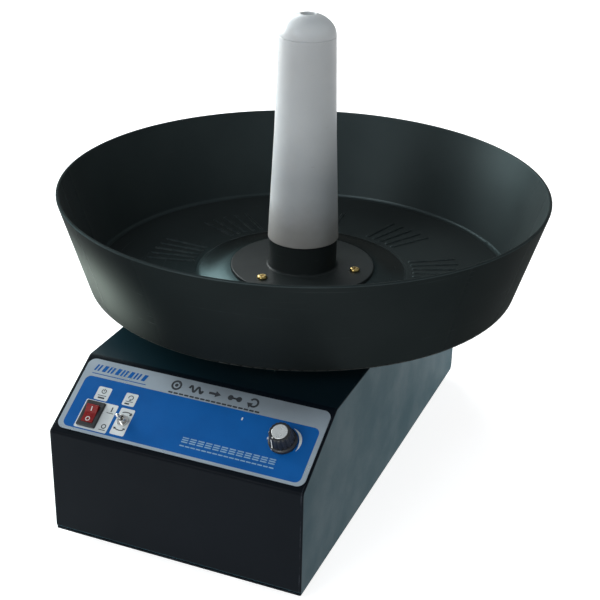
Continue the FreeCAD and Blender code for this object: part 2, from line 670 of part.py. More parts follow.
def make_turntable():
    write("pan", pan())
    write("hub_flange", hub_flange())
    brass = pan_head_screw((M5[0], 4.2, 2.2), HUB_DISC_Z, HUB_DISC_Z - PLATEAU_UNDER_Z + TABLE_T)
    write("hub_screws", *[at(brass, *polar(SCREW_PITCH_R, a)) for a in SCREW_ANGLES])
    write("post", post())
    write("post_tie_bolt", post_tie_bolt())
    write("turntable_plate", turntable_plate())
    write("turntable_set_screws", *set_screws(BOSS_R, BOSS_SCREW_Z))
    write("spindle_spacer", turned([(SHAFT_R + FIT, UPPER_BEARING_Z + BEARING_H, 0),
                                    (12, UPPER_BEARING_Z + BEARING_H, 0.4), (12, BOSS_Z, 0.4),
                                    (SHAFT_R + FIT, BOSS_Z, 0)], 0, SPINDLE_Y))
    write("spindle", spindle())
    write("spindle_circlip", circlip())


# ---------------------------------------------------------------- spindle and bearings
def set_screws(boss_r, z):
    """Two headless M5 screws at right angles, screwed into a boss of that radius from outside."""
    screws = []
    for direction in (V(1, 0, 0), V(0, 1, 0)):
        inner = SHAFT_R + FIT + 0.1
        screw = Part.makeCylinder(M5[0] - FIT, boss_r - 1 - inner, V(0, SPINDLE_Y, z) + direction * inner,
                                  direction)
        socket = Part.makeCylinder(1.3, 2.5, V(0, SPINDLE_Y, z) + direction * (boss_r - 3.5), direction)
        screws.append(screw.cut(socket))
    return screws


def set_screw_holes(boss_r, z):
    return [Part.makeCylinder(M5[0], boss_r + 2, V(0, SPINDLE_Y, z), direction)
            for direction in (V(1, 0, 0), V(0, 1, 0))]


def turntable_plate():
    corners = [(SHAFT_R + FIT, BOSS_Z, 0), (BOSS_R, BOSS_Z, 0.8), (BOSS_R, PLATEAU_UNDER_Z - TABLE_T, 3),
               (TABLE_R, PLATEAU_UNDER_Z - TABLE_T, 0.8), (TABLE_R, PLATEAU_UNDER_Z, 0.8),
               (SHAFT_R + FIT, PLATEAU_UNDER_Z, 0)]
    plate = turned(corners)
    plate = plate.cut(Part.makeCompound(screw_holes(PLATEAU_UNDER_Z - TABLE_T - 1, PLATEAU_UNDER_Z + 1, FIT)))
    plate.translate(V(0, SPINDLE_Y, 0))
    for hole in set_screw_holes(BOSS_R, BOSS_SCREW_Z):
        plate = plate.cut(hole)
    return plate


CIRCLIP_Z = 44.4
CIRCLIP_T = 1.2


def spindle():
    """Stepped shaft: bearing journals either side of a thicker middle, pulley seat below."""
    groove_r = SHAFT_R - 0.6
    corners = [(0, SPINDLE_BOTTOM_Z, 0), (SHAFT_R, SPINDLE_BOTTOM_Z, 0.8), (SHAFT_R, CIRCLIP_Z, 0),
               (groove_r, CIRCLIP_Z, 0), (groove_r, CIRCLIP_Z + CIRCLIP_T, 0),
               (SHAFT_R, CIRCLIP_Z + CIRCLIP_T, 0), (SHAFT_R, LOWER_BEARING_Z + BEARING_H, 0),
               (SHOULDER_SHAFT_R, LOWER_BEARING_Z + BEARING_H, 0), (SHOULDER_SHAFT_R, UPPER_BEARING_Z, 0),
               (SHAFT_R, UPPER_BEARING_Z, 0), (SHAFT_R, SPINDLE_TOP_Z, 0.8), (0, SPINDLE_TOP_Z, 0)]
    return turned(corners, 0, SPINDLE_Y)


def circlip():
    ring = turned([(SHAFT_R - 0.55, CIRCLIP_Z + 0.05, 0), (SHAFT_R + 2.5, CIRCLIP_Z + 0.05, 0),
                   (SHAFT_R + 2.5, CIRCLIP_Z + CIRCLIP_T - 0.05, 0),
                   (SHAFT_R - 0.55, CIRCLIP_Z + CIRCLIP_T - 0.05, 0)], 0, SPINDLE_Y)
    return ring.cut(box((-2.5, SPINDLE_Y, CIRCLIP_Z - 1), (2.5, SPINDLE_Y + 20, CIRCLIP_Z + 3)))


BALL_R = 2.35
BALL_PITCH_R = 13.0
BALL_COUNT = 9
INNER_RING_R = 11.5
OUTER_RING_R = 14.5


def make_bearings():
    """Two deep-groove ball bearings: outer rings, inner rings and balls."""
    outer_rings, inner_rings, balls = [], [], []
    for low in (LOWER_BEARING_Z, UPPER_BEARING_Z):
        middle = low + BEARING_H / 2
        groove = Part.makeTorus(BALL_PITCH_R, BALL_R + 0.05, V(0, SPINDLE_Y, middle))
        high = low + BEARING_H
        outer = turned([(OUTER_RING_R, low, 0.2), (BEARING_R, low, 0.6), (BEARING_R, high, 0.6),
                        (OUTER_RING_R, high, 0.2)], 0, SPINDLE_Y)
        outer_rings.append(outer.cut(groove))
        inner = turned([(SHAFT_R + FIT, low, 0.4), (INNER_RING_R, low, 0.2), (INNER_RING_R, high, 0.2),
                        (SHAFT_R + FIT, high, 0.4)], 0, SPINDLE_Y)
        inner_rings.append(inner.cut(groove))
        for k in range(BALL_COUNT):
            x, y = polar(BALL_PITCH_R, 360 / BALL_COUNT * k)
            balls.append(Part.makeSphere(BALL_R, V(x, y, middle)))
    write("bearing_outer_rings", *outer_rings)
    write("bearing_inner_rings", *inner_rings)
    write("bearing_balls", *balls)


def bearing_housing():
    seat_r = BEARING_R + FIT
    upper_seat, lower_seat = UPPER_BEARING_Z, LOWER_BEARING_Z + BEARING_H
    flange_z = CEILING_Z - 6
    outer_r, waist_r = 24.0, 15.0
    corners = [(seat_r, LOWER_BEARING_Z, 0.4), (outer_r, LOWER_BEARING_Z, 1.2), (outer_r, flange_z, 4),
               (HOUSING_FLANGE_R, flange_z, 1.2), (HOUSING_FLANGE_R, CEILING_Z, 0.6),
               (seat_r, CEILING_Z, 0.5), (seat_r, upper_seat, 0), (waist_r, upper_seat, 0),
               (waist_r, lower_seat, 0), (seat_r, lower_seat, 0)]
    housing = turned(corners, 0, SPINDLE_Y)
    for x, y in housing_spots():
        housing = housing.cut(cylinder(M5[0] + FIT, flange_z - 1, CEILING_Z + 1, x, y))
    return housing


def make_housing():
    write("bearing_housing", bearing_housing())
    screw = pan_head_screw(M5, TOP_Z, 7.5)
    write("housing_screws", *[at(screw, x, y) for x, y in housing_spots()])


# ---------------------------------------------------------------- belt drive and motor
def pulley(running_r, bore_r, hub_r, hub_low, hub_high, y):
    """Flanged flat-belt pulley with a hub that takes a set screw."""
    low, high = BELT_Z - 0.4, BELT_Z + BELT_W + 0.4
    rim_r = running_r + PULLEY_FLANGE
    corners = [(bore_r, low - PULLEY_WALL, 0), (rim_r, low - PULLEY_WALL, 0.4), (rim_r, low, 0.4),
               (running_r, low, 0), (running_r, high, 0), (rim_r, high, 0.4),
               (rim_r, high + PULLEY_WALL, 0.4), (bore_r, high + PULLEY_WALL, 0)]
    wheel = turned(corners)
    hub = turned([(bore_r, hub_low, 0), (hub_r, hub_low, 0.6), (hub_r, hub_high, 0.6), (bore_r, hub_high, 0)])
    wheel = wheel.fuse(hub).removeSplitter()
    wheel.translate(V(0, y, 0))
    return wheel


SPINDLE_HUB_R = 15.0
SPINDLE_HUB_TOP = 43.6
SPINDLE_HUB_SCREW_Z = 41.0
LIGHTENING_R, LIGHTENING_PITCH_R, LIGHTENING_COUNT = 5.0, 25.0, 6
MOTOR_HUB_R = 9.5
MOTOR_HUB_LOW = 15.5
MOTOR_SCREW_R, MOTOR_SCREW_Z = 2.0, 19.5


def make_pulleys():
    wheel = pulley(SPINDLE_PULLEY_R, SHAFT_R + FIT, SPINDLE_HUB_R, BELT_Z, SPINDLE_HUB_TOP, SPINDLE_Y)
    for k in range(LIGHTENING_COUNT):
        spot = polar(LIGHTENING_PITCH_R, 360 / LIGHTENING_COUNT * k)
        wheel = wheel.cut(cylinder(LIGHTENING_R, 0, 80, *spot))
    for hole in set_screw_holes(SPINDLE_HUB_R, SPINDLE_HUB_SCREW_Z):
        wheel = wheel.cut(hole)
    write("spindle_pulley", wheel)
    write("spindle_pulley_set_screws", *set_screws(SPINDLE_HUB_R, SPINDLE_HUB_SCREW_Z))
    small = pulley(MOTOR_PULLEY_R, MOTOR_SHAFT_R + FIT, MOTOR_HUB_R, MOTOR_HUB_LOW, BELT_Z, MOTOR_Y)
    outwards = V(1, 0, 0)
    middle = V(0, MOTOR_Y, MOTOR_SCREW_Z)
    write("motor_pulley", small.cut(Part.makeCylinder(MOTOR_SCREW_R, MOTOR_HUB_R + 2, middle, outwards)))
    start = middle + outwards * (MOTOR_SHAFT_R + FIT + 0.1)
    length, socket_r, socket_deep = 3.6, 1.0, 1.6
    screw = Part.makeCylinder(MOTOR_SCREW_R - FIT, length, start, outwards)
    socket = Part.makeCylinder(socket_r, socket_deep + 1, start + outwards * (length - socket_deep), outwards)
    write("motor_pulley_set_screw", screw.cut(socket))


def belt_loop(offset):
    """Face inside a loop that runs round both pulleys, offset outwards from their running faces."""
    big, small = SPINDLE_PULLEY_R + offset, MOTOR_PULLEY_R + offset
    lean = math.asin((big - small) / (MOTOR_Y - SPINDLE_Y))
    cos_l, sin_l = math.cos(lean), math.sin(lean)
    right_big = V(big * cos_l, SPINDLE_Y + big * sin_l, BELT_Z)
    right_small = V(small * cos_l, MOTOR_Y + small * sin_l, BELT_Z)
    left_big = V(-right_big.x, right_big.y, BELT_Z)
    left_small = V(-right_small.x, right_small.y, BELT_Z)
    edges = [Part.LineSegment(right_big, right_small).toShape(),
             Part.Arc(right_small, V(0, MOTOR_Y + small, BELT_Z), left_small).toShape(),
             Part.LineSegment(left_small, left_big).toShape(),
             Part.Arc(left_big, V(0, SPINDLE_Y - big, BELT_Z), right_big).toShape()]
    return Part.Face(Part.Wire(edges))


def drive_belt():
    outer = belt_loop(BELT_GAP + BELT_T).extrude(V(0, 0, BELT_W))
    return outer.cut(belt_loop(BELT_GAP).extrude(V(0, 0, BELT_W)))


def motor_bracket():
    """U-shaped hanger of bent plate, its two flanges screwed up under the cabinet's top."""
    w, t, f = BRACKET_HALF_W, BRACKET_T, BRACKET_FLANGE
    low, high = BRACKET_PLATE_Z, CEILING_Z
    corners = [(-w - f, high, 0), (-w - f, high - t, 0), (-w, high - t, 1), (-w, low, 3.5), (w, low, 3.5),
               (w, high - t, 1), (w + f, high - t, 0), (w + f, high, 0), (w - t, high, 3.5),
               (w - t, low + t, 1), (-w + t, low + t, 1), (-w + t, high, 3.5)]
    front = MOTOR_Y - BRACKET_HALF_D
    shape = Part.Face(rounded_wire(corners, lambda a, b: V(a, front, b)))
    shape = shape.extrude(V(0, 2 * BRACKET_HALF_D, 0))
    shape = shape.cut(cylinder(GEARBOX_BOSS_R + CLEARANCE, low - 1, low + t + 1, 0, MOTOR_Y))
    for k in range(4):
        x, y = polar(GEARBOX_PITCH_R, 45 + 90 * k, MOTOR_Y)
        shape = shape.cut(cylinder(M4[0] + CLEARANCE, low - 1, low + t + 1, x, y))
    for x, y in bracket_spots():
        shape = shape.cut(cylinder(M5[0] + CLEARANCE, high - t - 1, high + 1, x, y))
    return shape


def gearbox():
    low = BRACKET_PLATE_Z + BRACKET_T
    bore_r = MOTOR_SHAFT_R + 0.05
    corners = [(bore_r, BRACKET_PLATE_Z, 0.3), (GEARBOX_BOSS_R, BRACKET_PLATE_Z, 0.6),
               (GEARBOX_BOSS_R, low, 0), (GEARBOX_R, low, 1), (GEARBOX_R, GEARBOX_TOP_Z, 1.5),
               (0, GEARBOX_TOP_Z, 0), (0, GEARBOX_BORE_TOP_Z, 0), (bore_r, GEARBOX_BORE_TOP_Z, 0)]
    shape = turned(corners, 0, MOTOR_Y)
    for k in range(4):
        x, y = polar(GEARBOX_PITCH_R, 45 + 90 * k, MOTOR_Y)
        shape = shape.cut(cylinder(M4[0] + FIT, low - 1, low + 9, x, y))
    return shape


def make_motor():
    write("drive_belt", drive_belt())
    write("motor_bracket", motor_bracket())
    screw = pan_head_screw(M5, TOP_Z, 9.5)
    write("bracket_screws", *[at(screw, x, y) for x, y in bracket_spots()])
    under = CEILING_Z - BRACKET_T
    nut = hexagon(M5_NUT[0], under - M5_NUT[1], under).cut(cylinder(M5[0] + FIT, 0, 200))
    write("bracket_nuts", *[at(nut, x, y) for x, y in bracket_spots()])
    write("gearbox", gearbox())
    gear_screw = turned_over(pan_head_screw(M4, BRACKET_PLATE_Z, 9), BRACKET_PLATE_Z)
    spots = [polar(GEARBOX_PITCH_R, 45 + 90 * k, MOTOR_Y) for k in range(4)]
    write("gearbox_screws", *[at(gear_screw, x, y) for x, y in spots])
    can = turned([(0, GEARBOX_TOP_Z, 0), (MOTOR_CAN_R, GEARBOX_TOP_Z, 0), (MOTOR_CAN_R, MOTOR_TOP_Z, 1.5),
                  (0, MOTOR_TOP_Z, 0)], 0, MOTOR_Y)
    write("motor_can", can)
    cap = turned([(0, MOTOR_TOP_Z, 0), (20, MOTOR_TOP_Z, 0), (20, MOTOR_TOP_Z + 3, 0.8),
                  (0, MOTOR_TOP_Z + 3, 0)], 0, MOTOR_Y)
    for side in (-1, 1):
        cap = cap.fuse(box((side * 12 - 2.4, MOTOR_Y - 0.4, MOTOR_TOP_Z + 2),
                           (side * 12 + 2.4, MOTOR_Y + 0.4, MOTOR_TOP_Z + 7)))
    write("motor_end_cap", cap)
    write("motor_shaft", turned([(0, MOTOR_HUB_LOW + 1, 0), (MOTOR_SHAFT_R, MOTOR_HUB_LOW + 1, 0.6),
                                 (MOTOR_SHAFT_R, GEARBOX_BORE_TOP_Z - 0.5, 0.3),
                                 (0, GEARBOX_BORE_TOP_Z - 0.5, 0)], 0, MOTOR_Y))


# ---------------------------------------------------------------- electrics
def standoff_spots():
    inset = 5.0
    x, y = BOARD_AT
    return [(x + sx * (BOARD_W / 2 - inset), y + sy * (BOARD_D / 2 - inset))
            for sx in (-1, 1) for sy in (-1, 1)]


def make_board():
    x, y = BOARD_AT
    top = BOARD_Z + BOARD_T
    board = rounded_plate(BOARD_W, BOARD_D, 2, BOARD_T, x, y, BOARD_Z)
    for spot in standoff_spots():
        board = board.cut(cylinder(M3[0] + 0.15, BOARD_Z - 1, top + 1, *spot))
    write("control_board", board)
    standoff = hexagon(5.5, BASE_TOP, BOARD_Z).cut(cylinder(M3[0] + FIT, 0, 30))
    write("board_standoffs", *[at(standoff, *spot) for spot in standoff_spots()])
    upper = pan_head_screw(M3, top, 6)
    lower = turned_over(pan_head_screw(M3, FOOT_H, 6), FOOT_H)
    write("board_screws", *[at(s, *spot) for s in (upper, lower) for spot in standoff_spots()])

    sink_w, sink_d, sink_h, fin_count = 60.0, 24.0, 34.0, 7
    sink_low = (x - sink_w / 2, y + BOARD_D / 2 - 12 - sink_d, top)
    sink = box(sink_low, (sink_low[0] + sink_w, sink_low[1] + 4, top + sink_h))
    for k in range(fin_count):
        fin_x = sink_low[0] + k * (sink_w - 2) / (fin_count - 1)
        sink = sink.fuse(box((fin_x, sink_low[1], top), (fin_x + 2, sink_low[1] + sink_d, top + sink_h)))
    write("board_heat_sink", sink.removeSplitter())
    cap_x, cap_y = x + BOARD_W / 2 - 16, y - 8
    write("board_capacitor", turned([(0, top, 0), (10, top, 0.8), (10, top + 30, 1.5), (0, top + 30, 0)],
                                    cap_x, cap_y))
    write("board_relay", box((x - 52, y - 2, top), (x - 33, y + 14, top + 15.5)))
    block = box((x - 30, y - BOARD_D / 2 + 3, top), (x + 30, y - BOARD_D / 2 + 13, top + 11))
    way_count = 8
    for k in range(way_count):
        way_x = x - 30 + (k + 0.5) * 60 / way_count
        block = block.cut(cylinder(2, top + 7, top + 12, way_x, y - BOARD_D / 2 + 9))
        block = block.cut(box((way_x - 2.2, y - BOARD_D / 2, top + 1.5),
                              (way_x + 2.2, y - BOARD_D / 2 + 6, top + 5.5)))
    write("board_terminal_block", block)


INLET_LIP = 3.0
INLET_RECESS = 17.0
PIN_SHORT = 5.5             # how far the pins stop below the recess's mouth


def make_inlet():
    """Flush mains inlet, a fuse holder beside it, both in the cabinet's back."""
    flange = rounded_plate(50, 24, 5, INLET_LIP)
    body = rounded_plate(27.2, 20.0, 2.3, 21, z=-20)
    shape = flange.fuse(body)
    recess = rounded_plate(24.4, 16.6, 2.6, INLET_RECESS + 1, z=INLET_LIP - INLET_RECESS)
    shape = shape.cut(recess).removeSplitter()
    for side in (-1, 1):
        shape = shape.cut(cylinder(INLET_SCREW_HOLE_R, -1, INLET_LIP + 1, side * INLET_SCREW_X, 0))
    pins = []
    for px, py in ((-7, -2.2), (7, -2.2), (0, 2.2)):
        hole = box((px - 1, py - 2, -25), (px + 1, py + 2, INLET_LIP - INLET_RECESS + 0.5))
        shape = shape.cut(hole)
        pins.append(box((px - 1, py - 2, -26), (px + 1, py + 2, INLET_LIP - PIN_SHORT)))
    write("mains_inlet", facing_back(shape, *INLET_AT))
    write("mains_inlet_pins", *[facing_back(pin, *INLET_AT) for pin in pins])
    screw = pan_head_screw(M3, INLET_LIP, 9)
    nut = hexagon(M3_NUT[0], -SHEET - M3_NUT[1], -SHEET).cut(cylinder(M3[0] + FIT, -10, 10))
    spots = [(INLET_AT[0] + side * INLET_SCREW_X, INLET_AT[1]) for side in (-1, 1)]
    write("mains_inlet_screws", *[facing_back(screw, *spot) for spot in spots])
    write("mains_inlet_nuts", *[facing_back(nut, *spot) for spot in spots])
    holder = turned([(0, -28, 0), (5.8, -28, 0.5), (6.2, 0, 0), (9, 0, 0), (9, 3.0, 0.8), (7.2, 3.0, 0),
                     (7.2, 0.7, 0), (0, 0.7, 0)])
    write("fuse_holder", facing_back(holder, *FUSE_AT))
    cap = turned([(0, 0.8, 0), (7.0, 0.8, 0), (6.6, 10, 1.0), (0, 10, 0)])
    cap = cap.cut(box((-5, -0.7, 8.8), (5, 0.7, 11)))
    write("fuse_cap", facing_back(cap, *FUSE_AT))


make_cabinet()
make_panel()
make_turntable()
make_bearings()
make_housing()
make_pulleys()
make_motor()
make_board()
make_inlet()
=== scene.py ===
import json
import math

import bmesh
import bpy
from mathutils import Matrix, Vector


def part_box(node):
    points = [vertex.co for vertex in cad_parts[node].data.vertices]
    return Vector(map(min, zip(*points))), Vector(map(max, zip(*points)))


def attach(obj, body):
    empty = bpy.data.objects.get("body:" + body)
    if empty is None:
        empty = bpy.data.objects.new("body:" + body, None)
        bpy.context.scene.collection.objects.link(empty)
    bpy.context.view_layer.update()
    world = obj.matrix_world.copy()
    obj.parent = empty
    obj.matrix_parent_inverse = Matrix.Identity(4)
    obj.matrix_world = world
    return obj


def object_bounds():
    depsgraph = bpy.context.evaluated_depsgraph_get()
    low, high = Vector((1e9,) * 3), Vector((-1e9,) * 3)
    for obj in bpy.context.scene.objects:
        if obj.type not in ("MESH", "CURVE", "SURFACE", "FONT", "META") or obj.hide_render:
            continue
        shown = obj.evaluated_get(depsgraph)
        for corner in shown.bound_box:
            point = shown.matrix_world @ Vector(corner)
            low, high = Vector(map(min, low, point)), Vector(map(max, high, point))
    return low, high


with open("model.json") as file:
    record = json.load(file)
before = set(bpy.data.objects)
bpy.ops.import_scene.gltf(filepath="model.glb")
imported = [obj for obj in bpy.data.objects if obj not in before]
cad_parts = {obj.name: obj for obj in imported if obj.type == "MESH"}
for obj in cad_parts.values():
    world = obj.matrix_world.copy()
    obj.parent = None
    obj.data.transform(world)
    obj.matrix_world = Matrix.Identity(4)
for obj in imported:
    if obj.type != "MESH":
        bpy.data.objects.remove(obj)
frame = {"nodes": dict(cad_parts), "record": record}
CAD_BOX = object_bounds()
NODES = frame["nodes"]
MM = 0.001


# ---------------------------------------------------------------- node graphs
ROUND_SCALE = 0.02          # metres of pattern to one radian round an axis
BLOTCH_SPAN = (0.3, 0.7)    # the part of a noise's range that most of its values lie in
SCUFFS = (900, 60, 500)     # how fine scuffs are outward, round the axis and upward
TURNING = (0, 70, 900)      # the same for the lines that a lathe leaves


def add(tree, kind, inputs=None, **settings):
    """A shader node with its settings, and its inputs set or linked by name or number."""
    made = tree.nodes.new("ShaderNode" + kind)
    for key, value in settings.items():
        setattr(made, key, value)
    for key, value in (inputs or {}).items():
        if isinstance(value, bpy.types.NodeSocket):
            tree.links.new(value, made.inputs[key])
        else:
            made.inputs[key].default_value = value
    return made


def noise(tree, where, scale, detail=3.0, roughness=0.55):
    fields = {"Vector": where, "Scale": scale, "Detail": detail, "Roughness": roughness}
    return add(tree, "TexNoise", fields).outputs[0]


def remap(tree, value, start, end, low=0.0, high=1.0, smooth=True):
    """The value taken from the range start to end into the range low to high."""
    fields = {"Value": value, "From Min": start, "From Max": end, "To Min": low, "To Max": high}
    kind = "SMOOTHSTEP" if smooth else "LINEAR"
    return add(tree, "MapRange", fields, interpolation_type=kind).outputs[0]


def maths(tree, operation, *values):
    return add(tree, "Math", dict(enumerate(values)), operation=operation).outputs[0]


def blend(tree, factor, first, second):
    """One colour turning into another as factor goes from 0 to 1."""
    return add(tree, "Mix", {0: factor, 6: first, 7: second}, data_type="RGBA").outputs[2]


def times(tree, colour, factor):
    """A colour made paler or darker."""
    return add(tree, "VectorMath", {0: colour, "Scale": factor}, operation="SCALE").outputs[0]


def rgba(colour):
    return (*colour, 1.0)


def place(tree):
    return add(tree, "TexCoord").outputs["Object"]


def stretched(tree, where, scale):
    return add(tree, "Mapping", {"Vector": where, "Scale": scale}).outputs[0]


def polar(tree, where, centre):
    """A point as its distance from a vertical axis, its angle times ROUND_SCALE, and its height."""
    parts = add(tree, "SeparateXYZ", {0: where})
    x = maths(tree, "SUBTRACT", parts.outputs[0], centre[0])
    y = maths(tree, "SUBTRACT", parts.outputs[1], centre[1])
    squares = maths(tree, "ADD", maths(tree, "MULTIPLY", x, x), maths(tree, "MULTIPLY", y, y))
    radius = maths(tree, "SQRT", squares)
    angle = maths(tree, "ARCTAN2", y, x)
    turn = maths(tree, "MULTIPLY", angle, ROUND_SCALE)
    return add(tree, "CombineXYZ", {0: radius, 1: turn, 2: parts.outputs[2]}).outputs[0]


def height_map(tree, height, depth, under=None):
    """A bump whose hills are depth metres high."""
    fields = {"Strength": 1.0, "Distance": depth, "Height": height}
    if under is not None:
        fields["Normal"] = under
    return add(tree, "Bump", fields).outputs[0]


# ---------------------------------------------------------------- what use does to a surface
def worn_edges(tree, where, radius):
    """1 on edges sharper than the radius, broken up by noise, and 0 elsewhere."""
    rounded_normal = add(tree, "Bevel", {"Radius": radius}, samples=4).outputs[0]
    normal = add(tree, "NewGeometry").outputs["Normal"]
    fields = {0: rounded_normal, 1: normal}
    likeness = add(tree, "VectorMath", fields, operation="DOT_PRODUCT").outputs["Value"]
    edge = remap(tree, likeness, 0.995, 0.875)
    broken = remap(tree, noise(tree, where, 90, 5, 0.7), 0.42, 0.66)
    return maths(tree, "MULTIPLY", edge, broken)


def paint_light_facing_up(tree, colour, on_steep, on_flat):
    """Painted light: the colour made on_steep and on_flat times paler on steep and on flat surfaces that face
    up.
    """
    normal = add(tree, "NewGeometry").outputs["Normal"]
    rise = add(tree, "SeparateXYZ", {0: normal}).outputs[2]
    steep = remap(tree, rise, -0.1, 0.15)
    flat = remap(tree, rise, 0.55, 0.97)
    gain = maths(tree, "ADD", maths(tree, "MULTIPLY", steep, on_steep - 1),
                 maths(tree, "MULTIPLY", flat, on_flat - on_steep))
    return times(tree, colour, maths(tree, "ADD", gain, 1.0))


def inside_radius(tree, round_it, radius):
    """1 nearer to the axis than radius, and 0 further out, for a point from polar()."""
    distance = add(tree, "SeparateXYZ", {0: round_it}).outputs[0]
    return remap(tree, distance, radius + 0.002, radius - 0.003)


# ---------------------------------------------------------------- finishes
def finish(name, colours, rough, grain=(900, 5e-6), blotch=9.0, waves=None, wear=None, brushed=None,
           ring=None, polish=None, painted_light_up=None, **shader_settings):
    """A procedural finish.
    colours: two close colours that mix in blotches of 1/blotch metres.
    rough: lowest and highest roughness, which varies in smudges.
    grain, waves: (scale per metre, height in metres) of the fine and the broad relief.
    wear: (colour, radius) of rubbed edges. brushed: a direction's stretch for drawn or turned metal.
    ring: the centre of scuffs that run round a vertical axis.
    polish: (radius, share of the roughness left, times paler) of a middle that is rubbed smooth
    and shines like metal, where there is a ring.
    painted_light_up: how many times paler the steep and the flat surfaces that face up are made, as painted
    light."""
    material = bpy.data.materials.new(name)
    material.use_nodes = True
    tree = material.node_tree
    shader = tree.nodes["Principled BSDF"]
    where = place(tree)
    blotches = remap(tree, noise(tree, where, blotch, 5), *BLOTCH_SPAN)
    colour = blend(tree, blotches, *map(rgba, colours))
    # Painted light: surfaces that face up are made paler.
    if painted_light_up:
        colour = paint_light_facing_up(tree, colour, *painted_light_up)
    smudge = noise(tree, where, blotch * 2.6, 6, 0.62)
    roughness = remap(tree, smudge, 0.3, 0.72, *rough)
    bump = height_map(tree, noise(tree, where, grain[0], 2), grain[1])
    if waves:
        bump = height_map(tree, noise(tree, where, waves[0], 1), waves[1], bump)
    if brushed:
        lines = noise(tree, stretched(tree, where, brushed), 1.0, 3, 0.6)
        roughness = maths(tree, "ADD", roughness, remap(tree, lines, 0.25, 0.75, -0.07, 0.07))
        bump = height_map(tree, lines, 6e-6, bump)
    if ring:
        round_it = polar(tree, where, ring)
        if polish:
            radius, smoothness, paler = polish
            middle = inside_radius(tree, round_it, radius)
            roughness = maths(tree, "MULTIPLY", roughness, remap(tree, middle, 0, 1, 1, smoothness, False))
            colour = blend(tree, middle, colour, times(tree, colour, paler))
            metallic = remap(tree, middle, 0, 1, shader_settings["metallic"], 1, False)
            tree.links.new(metallic, shader.inputs["Metallic"])
        scuff = remap(tree, noise(tree, stretched(tree, round_it, SCUFFS), 1.0, 4, 0.7), 0.62, 0.78)
        roughness = maths(tree, "ADD", roughness, maths(tree, "MULTIPLY", scuff, 0.14))
        scratched = tuple(3.2 * c + 0.006 for c in colours[1])
        colour = blend(tree, maths(tree, "MULTIPLY", scuff, 0.5), colour, rgba(scratched))
        bump = height_map(tree, scuff, 8e-6, bump)
    if wear:
        worn = worn_edges(tree, where, wear[1])
        colour = blend(tree, worn, colour, rgba(wear[0]))
        roughness = maths(tree, "SUBTRACT", roughness, maths(tree, "MULTIPLY", worn, 0.1))
    tree.links.new(colour, shader.inputs["Base Color"])
    tree.links.new(roughness, shader.inputs["Roughness"])
    tree.links.new(bump, shader.inputs["Normal"])
    for key, value in shader_settings.items():
        shader.inputs[key.replace("_", " ").title().replace("Ior", "IOR")].default_value = value
    return material


post_low, post_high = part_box("post")
AXIS = ((post_low.x + post_high.x) / 2, (post_low.y + post_high.y) / 2)
RUBBED_RADIUS = 0.087       # of the smooth part of the pan's raised middle

